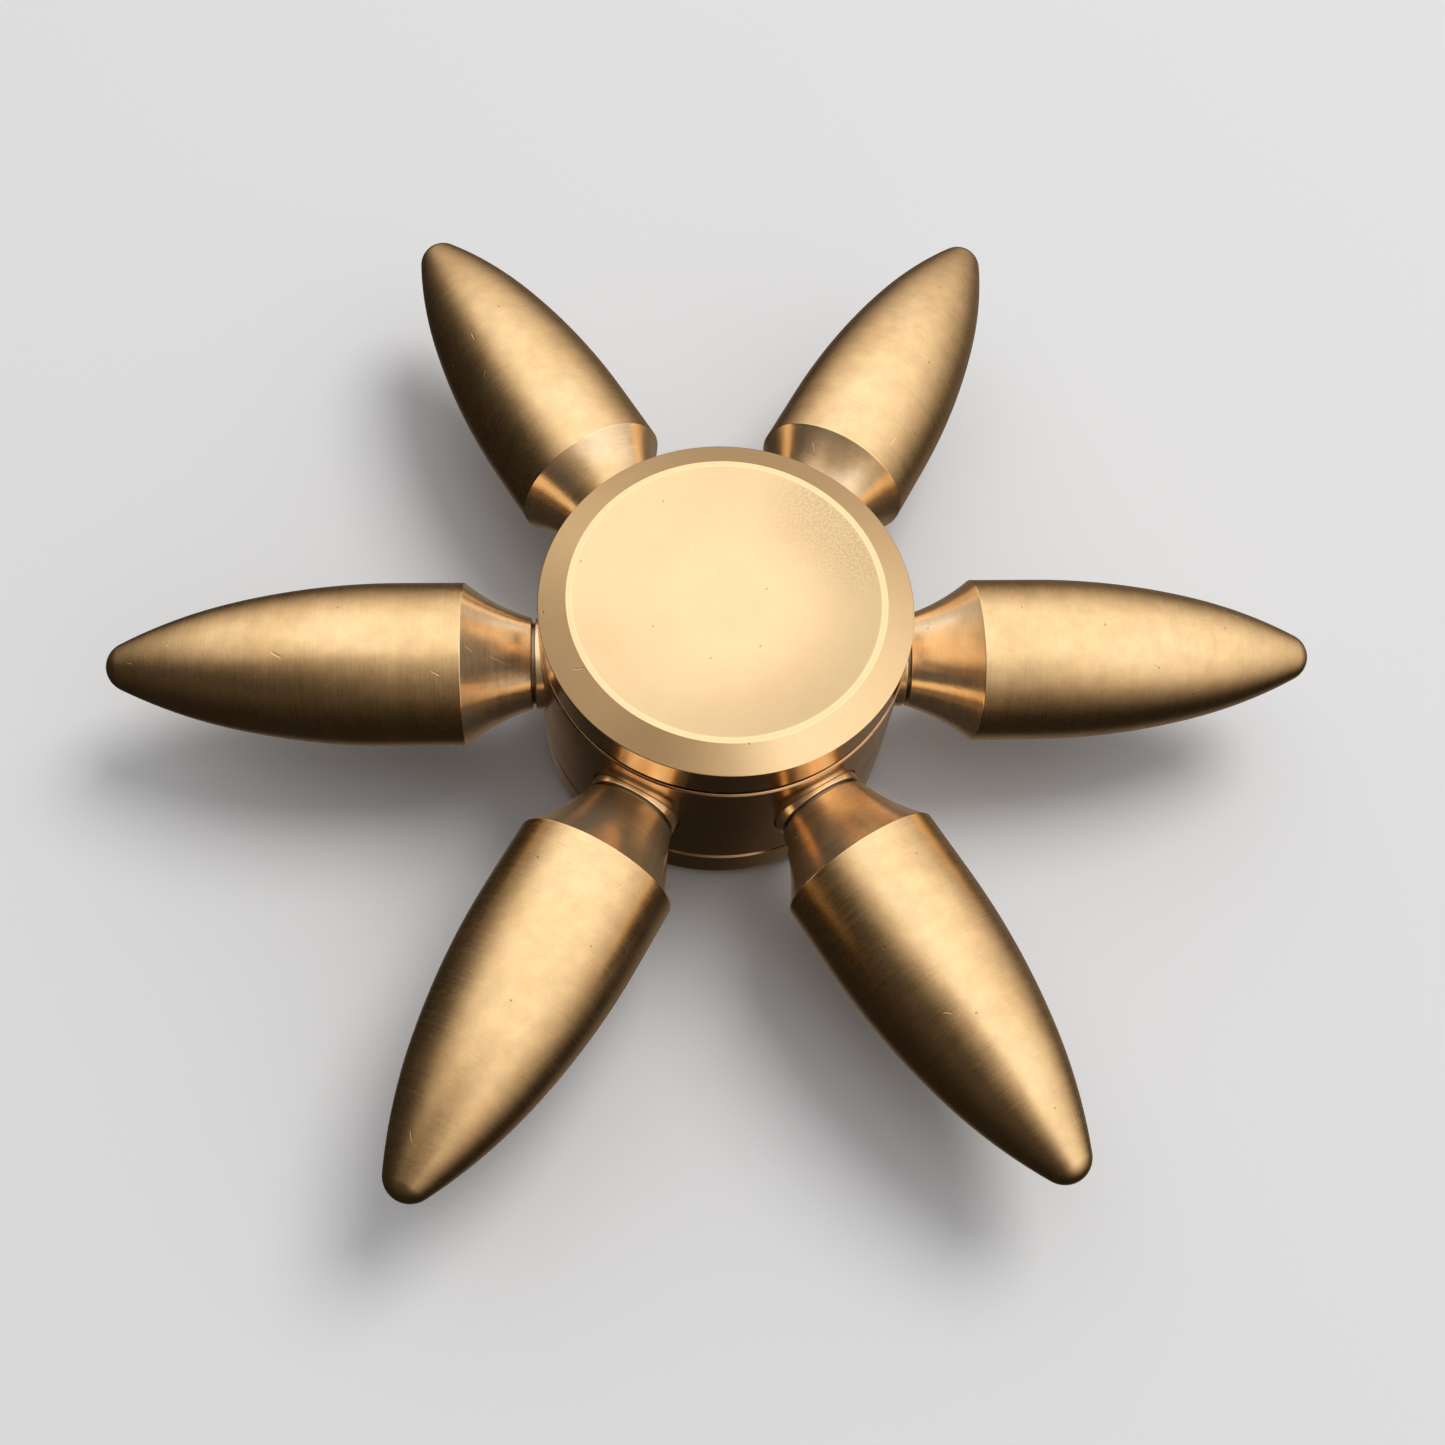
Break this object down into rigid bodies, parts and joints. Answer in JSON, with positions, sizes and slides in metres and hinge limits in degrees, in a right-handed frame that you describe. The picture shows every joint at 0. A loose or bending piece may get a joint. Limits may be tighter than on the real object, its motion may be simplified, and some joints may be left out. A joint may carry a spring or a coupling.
{
  "type": "finger spinner",
  "caption": "Turned-brass finger spinner: a hub ring with screwed-in bullet-shaped arms turning on a ball bearing between two dished finger caps.",
  "frame": {"origin": "on the table under the spin axis, at the centre of the lower cap's lip plane", "axes": "+Z along the spin axis, upwards; +X along bullet_arm_1"},
  "size_m": [0.07, 0.0612, 0.0154],
  "materials": {
    "arm_brass": "satin turned",
    "cap_brass": "fine turned, dished face",
    "hub_brass": "bright turned",
    "ring_steel": "ground bearing steel",
    "ball_steel": "polished",
    "cage_steel": "pressed, satin",
    "shield_steel": "stamped, satin",
    "snap_ring_steel": "sprung wire, satin"
  },
  "bodies": {
    "finger_caps": {"top_cap": "cap_brass", "bottom_cap": "cap_brass", "bearing_inner_ring": "ring_steel"},
    "rotor": {"hub_ring": "hub_brass", "bullet_arm_1": "arm_brass", "bullet_arm_2": "arm_brass", "bullet_arm_3": "arm_brass", "bullet_arm_4": "arm_brass", "bullet_arm_5": "arm_brass", "bullet_arm_6": "arm_brass", "bearing_outer_ring": "ring_steel", "shield_top": "shield_steel", "shield_bottom": "shield_steel", "snap_ring_top": "snap_ring_steel", "snap_ring_bottom": "snap_ring_steel"},
    "cage": {"bearing_cage": "cage_steel"},
    "ball_1_body": {"ball_1": "ball_steel"},
    "ball_2_body": {"ball_2": "ball_steel"},
    "ball_3_body": {"ball_3": "ball_steel"},
    "ball_4_body": {"ball_4": "ball_steel"},
    "ball_5_body": {"ball_5": "ball_steel"},
    "ball_6_body": {"ball_6": "ball_steel"},
    "ball_7_body": {"ball_7": "ball_steel"},
    "ball_8_body": {"ball_8": "ball_steel"},
    "ball_9_body": {"ball_9": "ball_steel"},
    "ball_10_body": {"ball_10": "ball_steel"}
  },
  "joints": [
    {"name": "rotor_spin", "type": "hinge", "parent": "finger_caps", "child": "rotor", "pos_m": [0, 0, 0.0077], "axis": [0, 0, 1], "continuous": true},
    {"name": "cage_spin", "type": "hinge", "parent": "finger_caps", "child": "cage", "pos_m": [0, 0, 0.0077], "axis": [0, 0, 1], "continuous": true},
    {"name": "ball_1_spin", "type": "hinge", "parent": "cage", "child": "ball_1_body", "pos_m": [0.00476, 0, 0.0077], "axis": [0, 0, 1], "continuous": true},
    {"name": "ball_2_spin", "type": "hinge", "parent": "cage", "child": "ball_2_body", "pos_m": [0.00385, 0.0028, 0.0077], "axis": [0, 0, 1], "continuous": true},
    {"name": "ball_3_spin", "type": "hinge", "parent": "cage", "child": "ball_3_body", "pos_m": [0.00147, 0.00453, 0.0077], "axis": [0, 0, 1], "continuous": true},
    {"name": "ball_4_spin", "type": "hinge", "parent": "cage", "child": "ball_4_body", "pos_m": [-0.00147, 0.00453, 0.0077], "axis": [0, 0, 1], "continuous": true},
    {"name": "ball_5_spin", "type": "hinge", "parent": "cage", "child": "ball_5_body", "pos_m": [-0.00385, 0.0028, 0.0077], "axis": [0, 0, 1], "continuous": true},
    {"name": "ball_6_spin", "type": "hinge", "parent": "cage", "child": "ball_6_body", "pos_m": [-0.00476, 0, 0.0077], "axis": [0, 0, 1], "continuous": true},
    {"name": "ball_7_spin", "type": "hinge", "parent": "cage", "child": "ball_7_body", "pos_m": [-0.00385, -0.0028, 0.0077], "axis": [0, 0, 1], "continuous": true},
    {"name": "ball_8_spin", "type": "hinge", "parent": "cage", "child": "ball_8_body", "pos_m": [-0.00147, -0.00453, 0.0077], "axis": [0, 0, 1], "continuous": true},
    {"name": "ball_9_spin", "type": "hinge", "parent": "cage", "child": "ball_9_body", "pos_m": [0.00147, -0.00453, 0.0077], "axis": [0, 0, 1], "continuous": true},
    {"name": "ball_10_spin", "type": "hinge", "parent": "cage", "child": "ball_10_body", "pos_m": [0.00385, -0.0028, 0.0077], "axis": [0, 0, 1], "continuous": true}
  ],
  "couplings": [
    {"joint": "cage_spin", "follows": "rotor_spin", "ratio": 0.58336},
    {"joint": "ball_1_spin", "follows": "rotor_spin", "ratio": 2.9157},
    {"joint": "ball_2_spin", "follows": "rotor_spin", "ratio": 2.9157},
    {"joint": "ball_3_spin", "follows": "rotor_spin", "ratio": 2.9157},
    {"joint": "ball_4_spin", "follows": "rotor_spin", "ratio": 2.9157},
    {"joint": "ball_5_spin", "follows": "rotor_spin", "ratio": 2.9157},
    {"joint": "ball_6_spin", "follows": "rotor_spin", "ratio": 2.9157},
    {"joint": "ball_7_spin", "follows": "rotor_spin", "ratio": 2.9157},
    {"joint": "ball_8_spin", "follows": "rotor_spin", "ratio": 2.9157},
    {"joint": "ball_9_spin", "follows": "rotor_spin", "ratio": 2.9157},
    {"joint": "ball_10_spin", "follows": "rotor_spin", "ratio": 2.9157}
  ]
}
